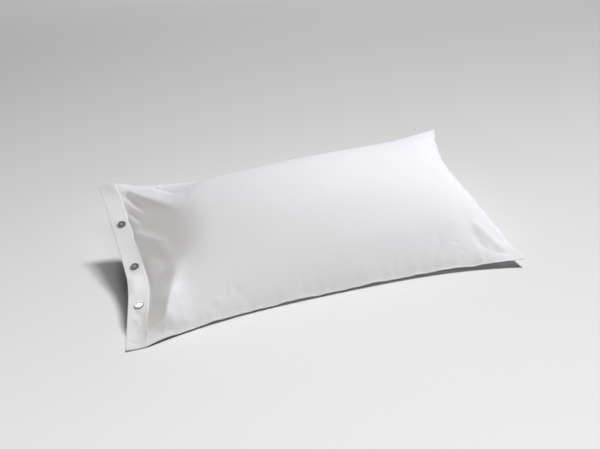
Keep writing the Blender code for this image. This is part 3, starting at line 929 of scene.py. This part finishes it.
def make_floor_material():
    """Matt studio paper with painted light, paler towards the front and a little to the right, and a faint
    mottle and a fine grain.
    """
    material, tree, surface = new_material("studio_paper")
    surface.inputs["Roughness"].default_value = 0.92
    place = add_node(tree, "ShaderNodeTexCoord").outputs["Object"]
    parts = add_node(tree, "ShaderNodeSeparateXYZ", links={0: place})
    x = within(tree, parts.outputs["X"], *PAPER_X)
    y = within(tree, parts.outputs["Y"], *PAPER_Y)
    # Painted light: the paper is painted paler towards the front and a little to the right.
    by_y, by_y_squared, by_y_cubed = PAINTED_LIGHT_BY_Y
    by_x, by_x_and_y = PAINTED_LIGHT_BY_X
    bend = sum_up(tree, "MULTIPLY_ADD", y, by_y_cubed, by_y_squared)
    bend = sum_up(tree, "MULTIPLY_ADD", y, bend, by_y)
    slant = sum_up(tree, "MULTIPLY_ADD", y, by_x_and_y, by_x)
    paleness = sum_up(tree, "MULTIPLY_ADD", y, bend, PAPER_AND_PAINTED_LIGHT)
    paleness = sum_up(tree, "MULTIPLY_ADD", x, slant, paleness)
    mottle = noise(tree, place, MOTTLE_SCALE)
    limits = {"To Min": MOTTLE_LEAST, "To Max": MOTTLE_MOST}
    uneven = add_node(tree, "ShaderNodeMapRange", limits, {"Value": mottle})
    shade = sum_up(tree, "MULTIPLY", paleness, uneven.outputs[0])
    colour = add_node(tree, "ShaderNodeVectorMath", {0: FLOOR_COLOUR}, {"Scale": shade}, operation="SCALE")
    tree.links.new(colour.outputs[0], surface.inputs["Base Color"])
    grain = noise(tree, place, GRAIN_SCALE)
    values = {"Strength": GRAIN_STRENGTH, "Distance": GRAIN_DEPTH}
    bump = add_node(tree, "ShaderNodeBump", values, {"Height": grain})
    tree.links.new(bump.outputs["Normal"], surface.inputs["Normal"])
    return material


def make_floor():
    signs = ((-1, -1), (1, -1), (1, 1), (-1, 1))
    corners = [(FLOOR_REACH * x, FLOOR_REACH * y, CAD_BOX[0].z) for x, y in signs]
    mesh = bpy.data.meshes.new("floor")
    mesh.from_pydata(corners, [], [(0, 1, 2, 3)])
    floor = add_piece("floor", mesh, make_floor_material())
    floor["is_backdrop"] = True
    return floor


def make_backdrop():
    """A pale wall round the floor, for views from low down. It is seen, but lights and shades nothing."""
    material, _, surface = new_material("backdrop_paper")
    surface.inputs["Base Color"].default_value = BLACK
    surface.inputs["Emission Color"].default_value = BACKDROP_COLOUR
    surface.inputs["Emission Strength"].default_value = 1.0
    rise = np.linspace(0.0, math.pi / 2, BACKDROP_STEPS)
    radius = np.append(BACKDROP_REACH + BACKDROP_FOOT * (np.sin(rise) - 1), BACKDROP_REACH)
    height = np.append(BACKDROP_FOOT * (1 - np.cos(rise)), BACKDROP_HEIGHT) + CAD_BOX[0].z
    turn = np.linspace(0.0, 2 * math.pi, BACKDROP_SIDES, endpoint=False)
    places = stack(np.outer(radius, np.cos(turn)), np.outer(radius, np.sin(turn)), height[:, None])
    index = np.arange(radius.size * BACKDROP_SIDES).reshape(radius.size, BACKDROP_SIDES)
    mesh = bpy.data.meshes.new("backdrop")
    mesh.from_pydata(places.reshape(-1, 3).tolist(), [], quads_between(index).tolist())
    mesh.shade_smooth()
    backdrop = add_piece("backdrop", mesh, material)
    backdrop.visible_diffuse = False
    backdrop.visible_glossy = False
    backdrop.visible_transmission = False
    backdrop.visible_shadow = False
    backdrop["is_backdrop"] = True


def make_camera():
    azimuth, elevation = math.radians(CAMERA_AZIMUTH), math.radians(CAMERA_ELEVATION)
    target = Vector((*CAMERA_TARGET, CAD_BOX[0].z))
    back_x = math.sin(azimuth) * math.cos(elevation)
    back_y = -math.cos(azimuth) * math.cos(elevation)
    back = Vector((back_x, back_y, math.sin(elevation)))
    data = bpy.data.cameras.new("camera")
    data.lens = CAMERA_LENS
    data.sensor_width = SENSOR_WIDTH
    camera = bpy.data.objects.new("camera", data)
    camera.location = target + back * CAMERA_DISTANCE
    camera.rotation_mode = "QUATERNION"
    camera.rotation_quaternion = (-back).to_track_quat("-Z", "Y")
    bpy.context.scene.collection.objects.link(camera)
    bpy.context.scene.camera = camera


def make_light(name, kind, location, target, power, colour=WHITE, **settings):
    """A light at a place, turned to its target. Power is watts, or for a sun watts for each square metre."""
    data = bpy.data.lights.new(name, kind)
    data.energy = power
    data.color = colour
    for key, value in settings.items():
        setattr(data, key, value)
    light = bpy.data.objects.new(name, data)
    light.location = location
    light.rotation_mode = "QUATERNION"
    light.rotation_quaternion = (Vector(target) - Vector(location)).to_track_quat("-Z", "Y")
    bpy.context.scene.collection.objects.link(light)
    return light


def make_shade_card(material):
    """A card hidden in and under the case, which shades the floor from its suns.

    It lies flat, and stands up to the seams only near the band, so that the case throws no long shadow in
    front. Its notch and its flare fit its shadow to the far left ear and to the band.
    """
    along, across = grid(0.0, 1.0, CARD_CELLS)
    sheet = seam_sheet(along, mix(CARD_MARGIN, 1 - CARD_MARGIN, across))
    near_band = smooth_step((CARD_STAND_END - along) / CARD_STAND_RUN)
    rise_start = CARD_SIDE_START + CARD_SIDE_SLANT * body_share(along)
    from_side = smooth_step((across - rise_start) / CARD_SIDE_RUN)
    sheet[..., 2] = mix(np.minimum(sheet[..., 2], CARD_HEIGHT), sheet[..., 2], near_band * from_side)
    notch = np.exp(-(((along - CARD_NOTCH_PLACE) / CARD_NOTCH_REACH) ** 2))
    notch = notch * smooth_step((across - CARD_NOTCH_START) / CARD_NOTCH_RUN)
    sheet[..., 2] -= CARD_NOTCH * notch
    flare = np.exp(-(((across - CARD_FLARE_PLACE) / CARD_FLARE_WIDTH) ** 2))
    flare = flare * np.exp(-((along / CARD_FLARE_REACH) ** 2))
    sheet[..., 0] -= CARD_FLARE * flare
    places = np.stack((along, across), axis=-1)
    card = closed_sheet("shade_card", sheet, sheet - (0, 0, CARD_THICKNESS), places, 0.0, material)
    card.visible_camera = False
    card.visible_diffuse = False
    card.visible_glossy = False
    card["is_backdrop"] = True
    return card


def collect(name, pieces):
    """A collection for light linking."""
    collection = bpy.data.collections.new(name)
    for piece in pieces:
        collection.objects.link(piece)
    return collection


def make_sky():
    world = bpy.data.worlds.new("studio")
    world.use_nodes = True
    background = world.node_tree.nodes["Background"]
    background.inputs["Color"].default_value = SKY_COLOUR
    background.inputs["Strength"].default_value = SKY_STRENGTH
    bpy.context.scene.world = world
    bpy.context.scene.view_settings.view_transform = "Standard"


def make_sun(name, turn, power, angle, colour=WHITE):
    """A sun on the back light's side, turned about the upright axis."""
    place = Matrix.Rotation(math.radians(turn), 3, "Z") @ Vector(BACK_LIGHT_PLACE)
    return make_light(name, "SUN", place, (0.0, 0.0, 0.0), power, colour, angle=math.radians(angle))


def make_panel(panel):
    """A large panel that shines at the middle of the part."""
    size = {"shape": "RECTANGLE", "size": PANEL_SIZE[0], "size_y": PANEL_SIZE[1]}
    return make_light(panel.name, "AREA", panel.place, (0.0, 0.0, 0.0), panel.power, panel.colour, **size)


def make_glint():
    """A round light that the front button mirrors to the camera."""
    base, turn = button_pose("button_front")
    normal = turn @ Vector((0.0, 0.0, 1.0))
    towards_camera = (bpy.context.scene.camera.location - base).normalized()
    mirrored = 2 * normal.dot(towards_camera) * normal - towards_camera
    place = base + GLINT_DISTANCE * mirrored
    glint = make_light("button_glint", "AREA", place, base, GLINT_POWER, shape="DISK", size=GLINT_SIZE)
    glint.light_linking.receiver_collection = collect("glinting", (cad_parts["button_front"],))


def make_lights(floor, card):
    """The part and the floor are lit apart. The part shades itself, and the card shades the floor's suns."""
    make_sky()
    lit_part = collect("lit_part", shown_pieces())
    lit_floor = collect("lit_floor", (floor,))
    back_light = make_sun("back_light", 0.0, BACK_LIGHT_POWER, BACK_LIGHT_ANGLE, BACK_LIGHT_COLOUR)
    panels = [make_panel(panel) for panel in PART_PANELS]
    floor_suns = []
    for number, turn in enumerate(FLOOR_SUN_TURNS):
        power = FLOOR_SUN_POWER / len(FLOOR_SUN_TURNS)
        floor_suns.append(make_sun(f"floor_sun_{number}", turn, power, FLOOR_SUN_ANGLE))
    make_glint()
    floor_panel = make_panel(FLOOR_PANEL)
    for light in (back_light, *panels):
        light.light_linking.receiver_collection = lit_part
        light.light_linking.blocker_collection = lit_part
    shades = collect("shades", (card,))
    for light in (floor_panel, *floor_suns):
        light.light_linking.receiver_collection = lit_floor
    for light in floor_suns:
        light.light_linking.blocker_collection = shades


def main():
    cotton = make_cotton("cotton", COTTON_COLOUR, pitch=0.0004, undulation=0.0012, sewn=True)
    stiff_cotton = make_cotton("stiff_cotton", STIFF_COLOUR, pitch=0.00035, undulation=0.0003, sewn=False)
    make_case(cotton)
    lap_end = BAND_SHARE + LAP / SPAN_LENGTH
    make_band_ply("band_upper_ply", "band_upper", lap_end, upper_ply_height, stiff_cotton)
    make_band_ply("band_lower_ply", "band_lower", BAND_SHARE, lower_ply_height, stiff_cotton)
    thread = make_cotton("sewing_thread", THREAD_COLOUR, pitch=0.0003, undulation=0.0, sewn=False)
    make_band_stitching(thread)
    sew_buttons(thread)
    for name in BUTTONS:
        shell = make_shell(name)
        for material_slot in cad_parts[name].material_slots:
            material_slot.material = shell
    floor = make_floor()
    make_backdrop()
    make_camera()
    make_lights(floor, make_shade_card(stiff_cotton))


main()
